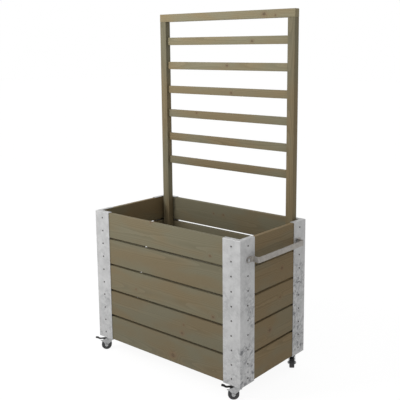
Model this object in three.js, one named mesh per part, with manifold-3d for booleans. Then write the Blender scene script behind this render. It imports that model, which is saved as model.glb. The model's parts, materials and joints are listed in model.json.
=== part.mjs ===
// Rolling planter: a board-sided box in four galvanised steel corners, with a trellis standing
// inside its back wall, a pull handle on its right end and four braked swivel castors.
// Millimetres. +Z is up, the floor is Z = 0, +Y is the trellis side and +X is the handle end.

import * as THREE from "three";
import { mergeVertices } from "three/addons/utils/BufferGeometryUtils.js";
import Module from "manifold-3d";

const wasm = await Module();
wasm.setup();

// ---------------------------------------------------------------- driving dimensions

const SEAT = 0.3; // clearance between pieces that rest on each other

// Box, measured over the steel corners
const BOX_LENGTH = 904;
const BOX_DEPTH = 488;

// Wall boards
const BOARD_HEIGHT = 120;
const BOARD_THICKNESS = 20;
const BOARD_GAP = 10;
const BOARDS_PER_SIDE = 5;
const TIMBER_EDGE_RADIUS = 3;

// Floor
const BEARER_WIDTH = 40;
const BEARER_HEIGHT = 20;
const FLOOR_BOARD_THICKNESS = 20;
const FLOOR_BOARD_COUNT = 4;
const FLOOR_BOARD_GAP = 6;

// Steel corners
const SHEET = 2;
const BASE_PLATE_THICKNESS = 2.5;
const FLANGE_WIDTH = 96;
const CORNER_BEND_RADIUS = 3;
const BASE_PLATE_CHAMFER = 40;

// Trellis
const OVERALL_HEIGHT = 1670;
const POST_TO_END_WALL = 14.7;
const POST_WIDTH = 40;
const POST_DEPTH = 32;
const RAIL_HEIGHT = 38;
const SLAT_HEIGHT = 38;
const SLAT_THICKNESS = 18;
const SLAT_SETBACK = 12; // from the front face of the posts
const SLAT_COUNT = 6;
const SLAT_PITCH = 122;
const RAIL_TO_SLAT_GAP = 78;

// Pull handle, a bent flat bar
const HANDLE_Z = 629;
const HANDLE_BAR_HEIGHT = 25;
const HANDLE_BAR_THICKNESS = 4;
const HANDLE_REACH = 40; // from the end face to the outside of the grip
const HANDLE_LEG_FROM_EDGE = 72; // outside of a leg, from the side face of the box
const HANDLE_TAB_LENGTH = 32; // from the outside of a leg
const HANDLE_BEND_RADIUS = 7;
const HANDLE_BOLT_FROM_LEG = 22;
const HANDLE_BOLT_RADIUS = 7;
const HANDLE_BOLT_HEIGHT = 4;

// Castors
const CASTOR_HEIGHT = 74;
const CASTOR_INSET = 40; // swivel axis from both faces of the box
const CASTOR_TRAIL = 23; // axle behind the swivel axis
const WHEEL_RADIUS = 25;
const WHEEL_WIDTH = 24;
const TYRE_SHOULDER = 4;
const HUB_RADIUS = 7.5;
const RIM_INNER_RADIUS = 14;
const RIM_RECESS = 5;
const WHEEL_RIB_COUNT = 5;
const WHEEL_RIB_THICKNESS = 1.8;
const WHEEL_RIB_HEIGHT = 3; // above the bottom of the recess
const TOP_PLATE_SIDE = 60;
const TOP_PLATE_THICKNESS = 2.5;
const TOP_PLATE_CORNER_RADIUS = 6;
const PLATE_BOLT_SPACING = 45;
const PLATE_BOLT_RADIUS = 5.8;
const PLATE_BOLT_HEIGHT = 4;
const RACE_RADIUS = 23;
const RACE_HEIGHT = 7;
const CROWN_RADIUS = 22;
const CROWN_HEIGHT = 6;
const KING_PIN_RADIUS = 5;
const RIVET_RADIUS = 9;
const RIVET_HEIGHT = 4;
const FORK_SHEET = 2.5;
const FORK_SIDE_CLEARANCE = 1.25; // tyre to fork leg
const AXLE_RADIUS = 4;
const AXLE_BOSS_RADIUS = 9;
const AXLE_HEAD_RADIUS = 7.5;
const AXLE_HEAD_THICKNESS = 4.5;
const PEDAL_REACH = 54; // pedal tip behind the axle
const PEDAL_THICKNESS = 3.5;
const PEDAL_PIN_RADIUS = 2.5;
const PEDAL_PIN_AHEAD_OF_AXLE = 6;
const PEDAL_BODY_WIDTH = 23;
const PEDAL_TREAD_WIDTH = 28;
const PEDAL_TREAD_LENGTH = 19;
const PEDAL_TREAD_RISE = 7.5;
const PEDAL_GRIP_COUNT = 4;
const PEDAL_GRIP_HEIGHT = 0.8;
const PEDAL_GRIP_THICKNESS = 1.4;
const PEDAL_GRIP_INSET = 2; // from the sides of the tread
const PEDAL_SHOE_CLEARANCE = 2;

// Directions in which the castors trail, in degrees from +X
const CASTOR_HEADINGS = { front_left: 226, front_right: 218, back_right: -56, back_left: 150 };

// Round stretches
const FINE_STEPS = 28;
const COARSE_STEPS = 16;
const EDGE_STEPS = 1;

// ---------------------------------------------------------------- sizes worked out from them

const boardPitch = BOARD_HEIGHT + BOARD_GAP;
const boardFace = SHEET + SEAT; // outside of a board, in from the outside of the steel
const wallInside = boardFace + BOARD_THICKNESS;
const innerLength = BOX_LENGTH - 2 * wallInside;
const innerDepth = BOX_DEPTH - 2 * wallInside;
const trellisWidth = innerLength - 2 * POST_TO_END_WALL;

const steelBottom = CASTOR_HEIGHT + SEAT;
const boardBottom = steelBottom + BASE_PLATE_THICKNESS + SEAT;
const boardTop = boardBottom + BOARDS_PER_SIDE * boardPitch - BOARD_GAP;
const steelTop = boardTop + SEAT + SHEET;
const floorBoardBottom = boardBottom + BEARER_HEIGHT + SEAT;
const floorTop = floorBoardBottom + FLOOR_BOARD_THICKNESS;

const plateBottom = CASTOR_HEIGHT - TOP_PLATE_THICKNESS;
const crownTop = plateBottom - RACE_HEIGHT - SEAT;
const crownBottom = crownTop - CROWN_HEIGHT;
const legInside = WHEEL_WIDTH / 2 + FORK_SIDE_CLEARANCE;
const legOutside = legInside + FORK_SHEET;

// ---------------------------------------------------------------- materials

const stainedWood = () => new THREE.MeshStandardMaterial({ color: 0x7d735c, roughness: 0.75, metalness: 0 });
const galvanised = () => new THREE.MeshStandardMaterial({ color: 0xb4b5b0, roughness: 0.45, metalness: 0.9 });
const zincPlate = () => new THREE.MeshStandardMaterial({ color: 0xa9abab, roughness: 0.3, metalness: 0.95 });
const blackPlastic = () => new THREE.MeshStandardMaterial({ color: 0x17181a, roughness: 0.5, metalness: 0 });
const greyRubber = () => new THREE.MeshStandardMaterial({ color: 0x45464a, roughness: 0.7, metalness: 0 });

// ---------------------------------------------------------------- solids

/** A closed geometry as a solid that can be joined and cut. */
function toSolid(geometry) {
  const bare = geometry.clone();
  bare.deleteAttribute("normal");
  bare.deleteAttribute("uv");
  const welded = mergeVertices(bare, 1e-4);
  const corners = welded.getIndex().array;
  const triVerts = [];
  for (let i = 0; i < corners.length; i += 3) {
    const [a, b, c] = corners.slice(i, i + 3);
    if (a !== b && b !== c && c !== a) triVerts.push(a, b, c);
  }
  const vertProperties = new Float32Array(welded.getAttribute("position").array);
  return new wasm.Manifold(
    new wasm.Mesh({ numProp: 3, vertProperties, triVerts: new Uint32Array(triVerts) }),
  );
}

function toGeometry(solid) {
  const { vertProperties, triVerts } = solid.getMesh();
  const geometry = new THREE.BufferGeometry();
  geometry.setAttribute("position", new THREE.BufferAttribute(vertProperties, 3));
  geometry.setIndex(new THREE.BufferAttribute(triVerts, 1));
  geometry.computeVertexNormals();
  return geometry;
}

function join(...geometries) {
  return toGeometry(geometries.map(toSolid).reduce((whole, piece) => whole.add(piece)));
}

function cut(body, ...tools) {
  return toGeometry(tools.map(toSolid).reduce((rest, tool) => rest.subtract(tool), toSolid(body)));
}

function overlapOf(a, b) {
  return toGeometry(toSolid(a).intersect(toSolid(b)));
}

/** An outline in XY, raised from Z = bottom to Z = top. */
function prism(shape, bottom, top, curveSegments = EDGE_STEPS) {
  const geometry = new THREE.ExtrudeGeometry(shape, {
    depth: top - bottom,
    bevelEnabled: false,
    curveSegments,
  });
  return geometry.translate(0, 0, bottom);
}

/** An outline drawn in X (across) and Z (up), thick along Y from y = front to y = back. */
function sidePlate(shape, front, back, curveSegments = EDGE_STEPS) {
  return prism(shape, -back, -front, curveSegments).rotateX(Math.PI / 2);
}

/** A profile of [radius, height] pairs turned about the Z axis. */
function turned(profile, steps = FINE_STEPS) {
  const points = profile.map(([radius, height]) => new THREE.Vector2(radius, height));
  return new THREE.LatheGeometry(points, steps).rotateX(Math.PI / 2);
}

/** A round bar along Z. */
function rod(radius, bottom, top, steps = COARSE_STEPS) {
  const bar = new THREE.CylinderGeometry(radius, radius, top - bottom, steps);
  return bar.rotateX(Math.PI / 2).translate(0, 0, (top + bottom) / 2);
}

/** A round bar along Y through a point of the XZ plane. */
function crossRod(radius, halfLength, x, z, steps = COARSE_STEPS) {
  return new THREE.CylinderGeometry(radius, radius, 2 * halfLength, steps).translate(x, 0, z);
}

/** A box between its lowest and highest corners. */
function block([x0, y0, z0], [x1, y1, z1]) {
  const box = new THREE.BoxGeometry(x1 - x0, y1 - y0, z1 - z0);
  return box.translate((x0 + x1) / 2, (y0 + y1) / 2, (z0 + z1) / 2);
}

function roundedRectangle(width, height, radius) {
  const x = width / 2;
  const y = height / 2;
  const shape = new THREE.Shape();
  shape.absarc(x - radius, y - radius, radius, 0, Math.PI / 2);
  shape.absarc(radius - x, y - radius, radius, Math.PI / 2, Math.PI);
  shape.absarc(radius - x, radius - y, radius, Math.PI, 1.5 * Math.PI);
  shape.absarc(x - radius, radius - y, radius, 1.5 * Math.PI, 2 * Math.PI);
  shape.closePath();
  return shape;
}

/** Planed timber with eased edges: length along X, thickness along Y, height along Z. */
function timber(length, thickness, height) {
  const section = roundedRectangle(height, thickness, TIMBER_EDGE_RADIUS);
  return prism(section, -length / 2, length / 2).rotateY(Math.PI / 2);
}

/** The outline of a flat strip bent along a path, with the same radius at every bend. */
function bentStrip(path, thickness, bendRadius) {
  const sections = [];
  const direction = (from, to) => to.clone().sub(from).normalize();
  const leftOf = (d) => new THREE.Vector2(-d.y, d.x);
  sections.push({ at: path[0], normal: leftOf(direction(path[0], path[1])) });
  for (let i = 1; i < path.length - 1; i += 1) {
    const coming = direction(path[i - 1], path[i]);
    const leaving = direction(path[i], path[i + 1]);
    const turn = Math.atan2(coming.cross(leaving), coming.dot(leaving));
    const setback = bendRadius * Math.tan(Math.abs(turn) / 2);
    const side = Math.sign(turn);
    const start = path[i].clone().addScaledVector(coming, -setback);
    const centre = start.clone().addScaledVector(leftOf(coming), side * bendRadius);
    const bendSteps = 5;
    for (let k = 0; k <= bendSteps; k += 1) {
      const normal = leftOf(coming).rotateAround(new THREE.Vector2(), (turn * k) / bendSteps);
      sections.push({ at: centre.clone().addScaledVector(normal, -side * bendRadius), normal });
    }
  }
  const last = path.length - 1;
  sections.push({ at: path[last], normal: leftOf(direction(path[last - 1], path[last])) });
  const edge = (offset) => sections.map(({ at, normal }) => at.clone().addScaledVector(normal, offset));
  return new THREE.Shape([...edge(-thickness / 2), ...edge(thickness / 2).reverse()]);
}

// ---------------------------------------------------------------- the assembly

const planter = new THREE.Group();
planter.name = "rolling_planter";

function addPiece(name, geometry, material, parent = planter) {
  const mesh = new THREE.Mesh(geometry, material);
  mesh.name = name;
  parent.add(mesh);
  return mesh;
}

const QUARTER_TURN = Math.PI / 2;

// ---------------------------------------------------------------- box walls and floor

/** One wall: boards stacked with open gaps, their middle at (x, y), turned about Z. */
function addWall(side, x, y, length, turn) {
  for (let i = 0; i < BOARDS_PER_SIDE; i += 1) {
    const board = timber(length, BOARD_THICKNESS, BOARD_HEIGHT);
    const mesh = addPiece(`${side}_board_${i + 1}`, board, stainedWood());
    mesh.position.set(x, y, boardBottom + i * boardPitch + BOARD_HEIGHT / 2);
    mesh.rotation.z = turn;
  }
}

function addWalls() {
  const acrossY = BOX_DEPTH / 2 - boardFace - BOARD_THICKNESS / 2;
  const acrossX = BOX_LENGTH / 2 - boardFace - BOARD_THICKNESS / 2;
  addWall("front", 0, -acrossY, BOX_LENGTH - 2 * boardFace, 0);
  addWall("back", 0, acrossY, BOX_LENGTH - 2 * boardFace, 0);
  addWall("left", -acrossX, 0, innerDepth - 2 * SEAT, QUARTER_TURN);
  addWall("right", acrossX, 0, innerDepth - 2 * SEAT, QUARTER_TURN);
}

function addFloor() {
  const bearerX = innerLength / 2 - SEAT - BEARER_WIDTH / 2;
  for (const [side, x] of [["left", -bearerX], ["right", bearerX]]) {
    const bearer = timber(innerDepth - 2 * SEAT, BEARER_WIDTH, BEARER_HEIGHT);
    const mesh = addPiece(`floor_bearer_${side}`, bearer, stainedWood());
    mesh.position.set(x, 0, boardBottom + BEARER_HEIGHT / 2);
    mesh.rotation.z = QUARTER_TURN;
  }
  const laidWidth = innerDepth - 2 * SEAT;
  const boardWidth = (laidWidth - (FLOOR_BOARD_COUNT - 1) * FLOOR_BOARD_GAP) / FLOOR_BOARD_COUNT;
  for (let i = 0; i < FLOOR_BOARD_COUNT; i += 1) {
    const board = timber(innerLength - 2 * SEAT, boardWidth, FLOOR_BOARD_THICKNESS);
    const mesh = addPiece(`floor_board_${i + 1}`, board, stainedWood());
    const y = -laidWidth / 2 + boardWidth / 2 + i * (boardWidth + FLOOR_BOARD_GAP);
    mesh.position.set(0, y, floorBoardBottom + FLOOR_BOARD_THICKNESS / 2);
  }
}

// ---------------------------------------------------------------- steel corners

/** The corner's footprint seen from above: a square from 0, 0 with its outer corner bent round. */
function cornerFootprint() {
  const outline = new THREE.Shape();
  outline.moveTo(FLANGE_WIDTH, 0);
  outline.lineTo(FLANGE_WIDTH, FLANGE_WIDTH);
  outline.lineTo(0, FLANGE_WIDTH);
  outline.absarc(CORNER_BEND_RADIUS, CORNER_BEND_RADIUS, CORNER_BEND_RADIUS, Math.PI, 1.5 * Math.PI);
  return outline;
}

/** The triangle that is cut off the base plate's inner corner. */
function basePlateChamfer() {
  const near = FLANGE_WIDTH - BASE_PLATE_CHAMFER;
  const far = FLANGE_WIDTH + BASE_PLATE_CHAMFER;
  const corners = [new THREE.Vector2(far, near), new THREE.Vector2(far, far), new THREE.Vector2(near, far)];
  return new THREE.Shape(corners);
}

/** Folded sheet: two flanges, a return over the board tops and a base plate for the castor. */
function cornerAngle() {
  const bendSteps = 4;
  const beyond = FLANGE_WIDTH + 1;
  const basePlateTop = steelBottom + BASE_PLATE_THICKNESS;
  const returnWidth = boardFace + BOARD_THICKNESS;
  return cut(
    prism(cornerFootprint(), steelBottom, steelTop, bendSteps),
    block([SHEET, SHEET, basePlateTop], [beyond, beyond, steelTop - SHEET]),
    block([returnWidth, returnWidth, basePlateTop], [beyond, beyond, steelTop + 1]),
    prism(basePlateChamfer(), steelBottom - 1, basePlateTop + 1),
  );
}

/** The box's corners in turning order, so that each next one is a quarter turn further. */
const CORNERS = [
  { name: "front_left", x: -1, y: -1 },
  { name: "front_right", x: 1, y: -1 },
  { name: "back_right", x: 1, y: 1 },
  { name: "back_left", x: -1, y: 1 },
];

function addCorners() {
  CORNERS.forEach(({ name, x, y }, i) => {
    const mesh = addPiece(`corner_${name}`, cornerAngle(), galvanised());
    mesh.position.set((x * BOX_LENGTH) / 2, (y * BOX_DEPTH) / 2, 0);
    mesh.rotation.z = i * QUARTER_TURN;
  });
}

// ---------------------------------------------------------------- trellis

function addTrellis() {
  const postBottom = floorTop + SEAT;
  const railBottom = OVERALL_HEIGHT - RAIL_HEIGHT;
  const postTop = railBottom - SEAT;
  const postBack = innerDepth / 2 - SEAT;
  const postY = postBack - POST_DEPTH / 2;
  const postX = trellisWidth / 2 - POST_WIDTH / 2;
  for (const [side, x] of [["left", -postX], ["right", postX]]) {
    const post = timber(postTop - postBottom, POST_DEPTH, POST_WIDTH);
    const mesh = addPiece(`trellis_post_${side}`, post, stainedWood());
    mesh.position.set(x, postY, (postTop + postBottom) / 2);
    mesh.rotation.y = QUARTER_TURN;
  }
  const rail = addPiece("trellis_top_rail", timber(trellisWidth, POST_DEPTH, RAIL_HEIGHT), stainedWood());
  rail.position.set(0, postY, railBottom + RAIL_HEIGHT / 2);

  const slatLength = trellisWidth - 2 * POST_WIDTH - 2 * SEAT;
  const slatY = postBack - POST_DEPTH + SLAT_SETBACK + SLAT_THICKNESS / 2;
  const firstSlatMiddle = railBottom - RAIL_TO_SLAT_GAP - SLAT_HEIGHT / 2;
  for (let i = 0; i < SLAT_COUNT; i += 1) {
    const slat = timber(slatLength, SLAT_THICKNESS, SLAT_HEIGHT);
    const mesh = addPiece(`trellis_slat_${i + 1}`, slat, stainedWood());
    mesh.position.set(0, slatY, firstSlatMiddle - i * SLAT_PITCH);
  }
}

// ---------------------------------------------------------------- pull handle

/** The head of a handle bolt: a low dome, its seat at Z = 0. */
function boltHead(radius, height) {
  const shoulder = height * 0.4;
  return turned(
    [
      [0, -1],
      [radius, -1],
      [radius, shoulder],
      [radius * 0.8, height * 0.8],
      [radius * 0.4, height],
      [0, height],
    ],
    COARSE_STEPS,
  );
}

function pullHandle() {
  const tabX = SEAT + HANDLE_BAR_THICKNESS / 2;
  const gripX = HANDLE_REACH - HANDLE_BAR_THICKNESS / 2;
  const legOutsideY = BOX_DEPTH / 2 - HANDLE_LEG_FROM_EDGE;
  const legY = legOutsideY - HANDLE_BAR_THICKNESS / 2;
  const tabEndY = legOutsideY + HANDLE_TAB_LENGTH;
  const path = [
    [tabX, -tabEndY],
    [tabX, -legY],
    [gripX, -legY],
    [gripX, legY],
    [tabX, legY],
    [tabX, tabEndY],
  ].map(([x, y]) => new THREE.Vector2(x, y));
  const half = HANDLE_BAR_HEIGHT / 2;
  const strip = prism(bentStrip(path, HANDLE_BAR_THICKNESS, HANDLE_BEND_RADIUS), -half, half);

  // Seen from the end of the box, the tabs have round ends.
  const face = roundedRectangle(HANDLE_BAR_HEIGHT, 2 * tabEndY, half);
  const faceTool = prism(face, 0, HANDLE_REACH, COARSE_STEPS / 4).rotateY(QUARTER_TURN);

  const boltY = legOutsideY + HANDLE_BOLT_FROM_LEG;
  const headX = SEAT + HANDLE_BAR_THICKNESS;
  const heads = [-boltY, boltY].map((y) =>
    boltHead(HANDLE_BOLT_RADIUS, HANDLE_BOLT_HEIGHT).rotateY(QUARTER_TURN).translate(headX, y, 0),
  );
  return join(overlapOf(strip, faceTool), ...heads);
}

function addHandle() {
  const mesh = addPiece("pull_handle", pullHandle(), galvanised());
  mesh.position.set(BOX_LENGTH / 2, 0, HANDLE_Z);
}

// ---------------------------------------------------------------- castors
// Drawn with the swivel axis at X = 0 and the wheel trailing towards -X.

const axleX = -CASTOR_TRAIL;
const pedalPinX = axleX + PEDAL_PIN_AHEAD_OF_AXLE;
const pedalPinZ = crownBottom - RIVET_HEIGHT;
const pedalTop = crownBottom - 0.7;
const pedalTip = axleX - PEDAL_REACH;
const treadStart = pedalTip + PEDAL_TREAD_LENGTH;
const treadTop = pedalTop + PEDAL_TREAD_RISE;
const treadSlope = new THREE.QuadraticBezierCurve(
  new THREE.Vector2(treadStart - 3, pedalTop + 3),
  new THREE.Vector2(treadStart - 6, pedalTop + 6),
  new THREE.Vector2(pedalTip + 3, treadTop),
);

/** Top plate with the upper ball race and the king pin riveted over under the crown. */
function castorPlate() {
  const raceBottom = plateBottom - RACE_HEIGHT;
  const rivetTop = crownBottom - SEAT;
  const rivetBottom = rivetTop - RIVET_HEIGHT;
  const side = roundedRectangle(TOP_PLATE_SIDE, TOP_PLATE_SIDE, TOP_PLATE_CORNER_RADIUS);
  const plate = prism(side, plateBottom, CASTOR_HEIGHT, 3);
  const race = turned([
    [0, rivetBottom],
    [RIVET_RADIUS - 2, rivetBottom],
    [RIVET_RADIUS, rivetBottom + 1],
    [RIVET_RADIUS, rivetTop],
    [KING_PIN_RADIUS, rivetTop],
    [KING_PIN_RADIUS, raceBottom],
    [RACE_RADIUS - 2, raceBottom],
    [RACE_RADIUS, raceBottom + 2],
    [RACE_RADIUS, plateBottom - 2],
    [RACE_RADIUS + 1.5, plateBottom],
    [RACE_RADIUS + 1.5, plateBottom + 1],
    [0, plateBottom + 1],
  ]);
  const reach = PLATE_BOLT_SPACING / 2;
  const bolts = CORNERS.map(({ x, y }) => {
    const head = rod(PLATE_BOLT_RADIUS, plateBottom - PLATE_BOLT_HEIGHT, plateBottom + 1, 6);
    return head.translate(x * reach, y * reach, 0);
  });
  return join(plate, race, ...bolts);
}

/** A fork leg from the side: wide under the crown, drawn in to a round boss at the axle. */
function forkLegOutline() {
  const webTop = crownBottom + FORK_SHEET;
  const crownFront = 14;
  const crownBack = axleX - 1;
  const earTop = WHEEL_RADIUS * 2 + 1;
  const earEnd = axleX - 30;
  const outline = new THREE.Shape();
  outline.moveTo(crownFront, webTop);
  outline.lineTo(crownBack, webTop);
  outline.lineTo(crownBack - 5, earTop + 1);
  outline.lineTo(earEnd + 3, earTop);
  outline.quadraticCurveTo(earEnd, earTop, earEnd, earTop - 3);
  outline.lineTo(earEnd + 1, earTop - 6);
  outline.absarc(axleX, WHEEL_RADIUS, AXLE_BOSS_RADIUS, Math.PI * 1.2, Math.PI * 1.82);
  outline.lineTo(crownFront - 1, crownBottom - 8);
  return outline;
}

/** Pressed fork: a round crown under the race and two legs that hold the axle and pedal pin. */
function castorFork() {
  const crown = turned([
    [KING_PIN_RADIUS + SEAT, crownBottom],
    [CROWN_RADIUS, crownBottom],
    [CROWN_RADIUS, crownTop - 2],
    [CROWN_RADIUS - 2.5, crownTop],
    [KING_PIN_RADIUS + SEAT, crownTop],
    [KING_PIN_RADIUS + SEAT, crownBottom],
  ]);
  const legSteps = 8;
  const legs = [
    sidePlate(forkLegOutline(), -legOutside, -legInside, legSteps),
    sidePlate(forkLegOutline(), legInside, legOutside, legSteps),
  ];
  return cut(
    join(crown, ...legs),
    crossRod(AXLE_RADIUS + SEAT, legOutside + 1, axleX, WHEEL_RADIUS),
    crossRod(PEDAL_PIN_RADIUS + SEAT, legOutside + 1, pedalPinX, pedalPinZ),
  );
}

/** The stiffening ribs in the recess of one side of the wheel, from the hub out to the rim. */
function wheelRibs(floor) {
  return Array.from({ length: WHEEL_RIB_COUNT }, (_, i) =>
    block(
      [HUB_RADIUS - 1, -WHEEL_RIB_THICKNESS / 2, floor - 1],
      [RIM_INNER_RADIUS + 0.8, WHEEL_RIB_THICKNESS / 2, floor + WHEEL_RIB_HEIGHT],
    ).rotateZ((i * 2 * Math.PI) / WHEEL_RIB_COUNT),
  );
}

/** Wheel with a rounded tyre, a ribbed recess on both sides and a bored hub. */
function castorWheel() {
  const half = WHEEL_WIDTH / 2;
  const hubHalf = legInside - SEAT;
  const bore = AXLE_RADIUS + SEAT;
  const shoulder = (angle) => [
    WHEEL_RADIUS - TYRE_SHOULDER + TYRE_SHOULDER * Math.cos(angle),
    half - TYRE_SHOULDER + TYRE_SHOULDER * Math.sin(angle),
  ];
  const recessFloor = half - RIM_RECESS;
  const upper = [
    shoulder(0),
    shoulder(Math.PI / 4),
    shoulder(Math.PI / 2),
    [RIM_INNER_RADIUS + 1, half],
    [RIM_INNER_RADIUS, recessFloor],
    [HUB_RADIUS, recessFloor],
    [HUB_RADIUS - 1, hubHalf],
    [bore, hubHalf],
  ];
  const lower = upper.map(([radius, height]) => [radius, -height]).reverse();
  const ribs = wheelRibs(recessFloor);
  const farRibs = wheelRibs(recessFloor).map((rib) => rib.rotateX(Math.PI));
  return join(turned([...lower, ...upper, lower[0]]), ...ribs, ...farRibs).rotateX(-QUARTER_TURN);
}

/** Axle bolt with its hexagon head on one side of the fork and its nut on the other. */
function castorAxle() {
  const seat = legOutside + SEAT;
  const hexagon = (y) =>
    new THREE.CylinderGeometry(AXLE_HEAD_RADIUS, AXLE_HEAD_RADIUS, AXLE_HEAD_THICKNESS, 6).translate(0, y, 0);
  const middle = seat + AXLE_HEAD_THICKNESS / 2;
  return join(crossRod(AXLE_RADIUS, seat + 1, 0, 0), hexagon(-middle), hexagon(middle));
}

/** The pedal from the side: a lever over the tyre that dips, then rises to a tread at its tip. */
function pedalOutline() {
  const bottom = pedalTop - PEDAL_THICKNESS;
  const nose = pedalPinX + 6;
  const shoeStart = axleX - 2;
  const shoeEnd = axleX - 12;
  const shoeBottom = WHEEL_RADIUS * 2 + PEDAL_SHOE_CLEARANCE - 1;
  const outline = new THREE.Shape();
  outline.moveTo(nose, pedalTop - 1);
  outline.lineTo(nose - 3, pedalTop);
  outline.lineTo(treadStart + 3, pedalTop - 1);
  outline.quadraticCurveTo(treadStart, pedalTop - 1, treadSlope.v0.x, treadSlope.v0.y);
  outline.quadraticCurveTo(treadSlope.v1.x, treadSlope.v1.y, treadSlope.v2.x, treadSlope.v2.y);
  outline.quadraticCurveTo(pedalTip - 1, treadTop, pedalTip, treadTop - 3);
  outline.lineTo(treadStart - 4, bottom + 2.5);
  outline.quadraticCurveTo(treadStart - 1, bottom - 1, treadStart + 4, bottom - 1);
  outline.lineTo(shoeEnd, bottom);
  outline.lineTo(shoeEnd + 2, shoeBottom);
  outline.lineTo(shoeStart, shoeBottom);
  outline.lineTo(pedalPinX - 3, pedalPinZ - PEDAL_PIN_RADIUS);
  outline.lineTo(pedalPinX + 2, pedalPinZ - PEDAL_PIN_RADIUS);
  outline.lineTo(nose, pedalPinZ + 1);
  return outline;
}

/** One of the low bars across the tread that give the foot its grip. */
function gripBar(share) {
  const at = treadSlope.getPoint(share);
  const along = treadSlope.getTangent(share);
  const width = PEDAL_TREAD_WIDTH - 2 * PEDAL_GRIP_INSET;
  const bar = new THREE.BoxGeometry(PEDAL_GRIP_THICKNESS, width, 2 * PEDAL_GRIP_HEIGHT);
  return bar.rotateY(-Math.atan2(along.y, along.x)).translate(at.x, 0, at.y);
}

/** Brake pedal: narrow between the fork legs, wider at its ribbed tread, with its hinge pin. */
function brakePedal() {
  const outline = pedalOutline();
  const curveSteps = 4;
  const wide = sidePlate(outline, -PEDAL_TREAD_WIDTH / 2, PEDAL_TREAD_WIDTH / 2, curveSteps);
  const treadZone = new THREE.BoxGeometry(2 * PEDAL_TREAD_LENGTH, PEDAL_TREAD_WIDTH + 2, CASTOR_HEIGHT);
  treadZone.translate(pedalTip, 0, CASTOR_HEIGHT / 2);
  const lever = sidePlate(outline, -PEDAL_BODY_WIDTH / 2, PEDAL_BODY_WIDTH / 2, curveSteps);
  const pin = crossRod(PEDAL_PIN_RADIUS, legOutside, pedalPinX, pedalPinZ);
  const grips = Array.from({ length: PEDAL_GRIP_COUNT }, (_, i) => gripBar((i + 0.5) / PEDAL_GRIP_COUNT));
  return join(lever, overlapOf(wide, treadZone), ...grips, pin);
}

function addCastor(name, x, y, heading) {
  const castor = new THREE.Group();
  castor.position.set(x, y, 0);
  planter.add(castor);
  addPiece(`${name}_castor_plate`, castorPlate(), zincPlate(), castor);

  const swivel = new THREE.Group();
  swivel.rotation.z = THREE.MathUtils.degToRad(heading + 180);
  castor.add(swivel);
  addPiece(`${name}_castor_fork`, castorFork(), zincPlate(), swivel);
  addPiece(`${name}_brake_pedal`, brakePedal(), blackPlastic(), swivel);
  for (const [part, geometry, material] of [
    ["castor_wheel", castorWheel(), greyRubber()],
    ["castor_axle", castorAxle(), zincPlate()],
  ]) {
    const mesh = addPiece(`${name}_${part}`, geometry, material, swivel);
    mesh.position.set(axleX, 0, WHEEL_RADIUS);
  }
}

function addCastors() {
  for (const { name, x, y } of CORNERS) {
    const castorX = x * (BOX_LENGTH / 2 - CASTOR_INSET);
    const castorY = y * (BOX_DEPTH / 2 - CASTOR_INSET);
    addCastor(name, castorX, castorY, CASTOR_HEADINGS[name]);
  }
}

addWalls();
addFloor();
addCorners();
addTrellis();
addHandle();
addCastors();

export default planter;
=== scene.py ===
"""Looks of the rolling planter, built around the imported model.

Metres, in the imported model's frame: +Z up with the floor at Z = 0, +Y the trellis side and
+X the end with the pull handle.
"""

import json
import math
import random

import bmesh
import bpy
from mathutils import Matrix, Vector, noise


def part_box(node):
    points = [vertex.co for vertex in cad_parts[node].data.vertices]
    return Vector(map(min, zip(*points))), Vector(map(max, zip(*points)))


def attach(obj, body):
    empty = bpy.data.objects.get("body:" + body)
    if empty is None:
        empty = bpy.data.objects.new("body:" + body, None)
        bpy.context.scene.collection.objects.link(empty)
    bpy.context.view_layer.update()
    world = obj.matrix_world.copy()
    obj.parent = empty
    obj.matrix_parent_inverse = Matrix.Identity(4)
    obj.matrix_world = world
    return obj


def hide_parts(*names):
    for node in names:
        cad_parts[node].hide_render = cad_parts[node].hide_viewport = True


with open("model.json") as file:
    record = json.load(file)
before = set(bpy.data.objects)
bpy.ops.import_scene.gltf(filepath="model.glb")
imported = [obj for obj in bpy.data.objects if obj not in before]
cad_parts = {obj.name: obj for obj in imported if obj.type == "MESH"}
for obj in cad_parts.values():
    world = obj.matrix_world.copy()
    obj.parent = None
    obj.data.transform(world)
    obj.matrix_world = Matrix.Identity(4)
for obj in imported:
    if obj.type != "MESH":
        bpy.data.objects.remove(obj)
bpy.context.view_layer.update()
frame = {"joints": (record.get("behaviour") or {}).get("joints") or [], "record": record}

MM = 0.001
BOX_BODY = "planter_box"
CORNERS = ("front_left", "front_right", "back_right", "back_left")

# ---------------------------------------------------------------- shader nodes


def fill_socket(tree, socket, value):
    """Links another node's output to a socket, or sets the socket's own value."""
    if isinstance(value, bpy.types.NodeSocket):
        tree.links.new(value, socket)
    else:
        socket.default_value = value


def add_node(tree, kind, inputs=None, **settings):
    """A shader node with its settings; each input is a value or another node's output."""
    node = tree.nodes.new(f"ShaderNode{kind}")
    for name, value in settings.items():
        setattr(node, name, value)
    for key, value in (inputs or {}).items():
        fill_socket(tree, node.inputs[key], value)
    return node


def calculate(tree, operation, first, second=0.0, clamp=False):
    node = add_node(tree, "Math", {0: first, 1: second}, operation=operation, use_clamp=clamp)
    return node.outputs[0]


def multiply(tree, first, second):
    return calculate(tree, "MULTIPLY", first, second)


def vector_calculate(tree, operation, first, second):
    node = add_node(tree, "VectorMath", {0: first, 1: second}, operation=operation)
    return node.outputs[0]


def mix_colours(tree, factor, first, second, blend="MIX"):
    inputs = {0: factor, 6: first, 7: second}
    node = add_node(tree, "Mix", inputs, data_type="RGBA", blend_type=blend)
    return node.outputs[2]


def remap(tree, value, low, high, to_low=0.0, to_high=1.0):
    """value from low..high to to_low..to_high, held at the ends, with a smooth step."""
    inputs = {"Value": value, "From Min": low, "From Max": high, "To Min": to_low, "To Max": to_high}
    return add_node(tree, "MapRange", inputs, interpolation_type="SMOOTHSTEP").outputs[0]


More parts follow.
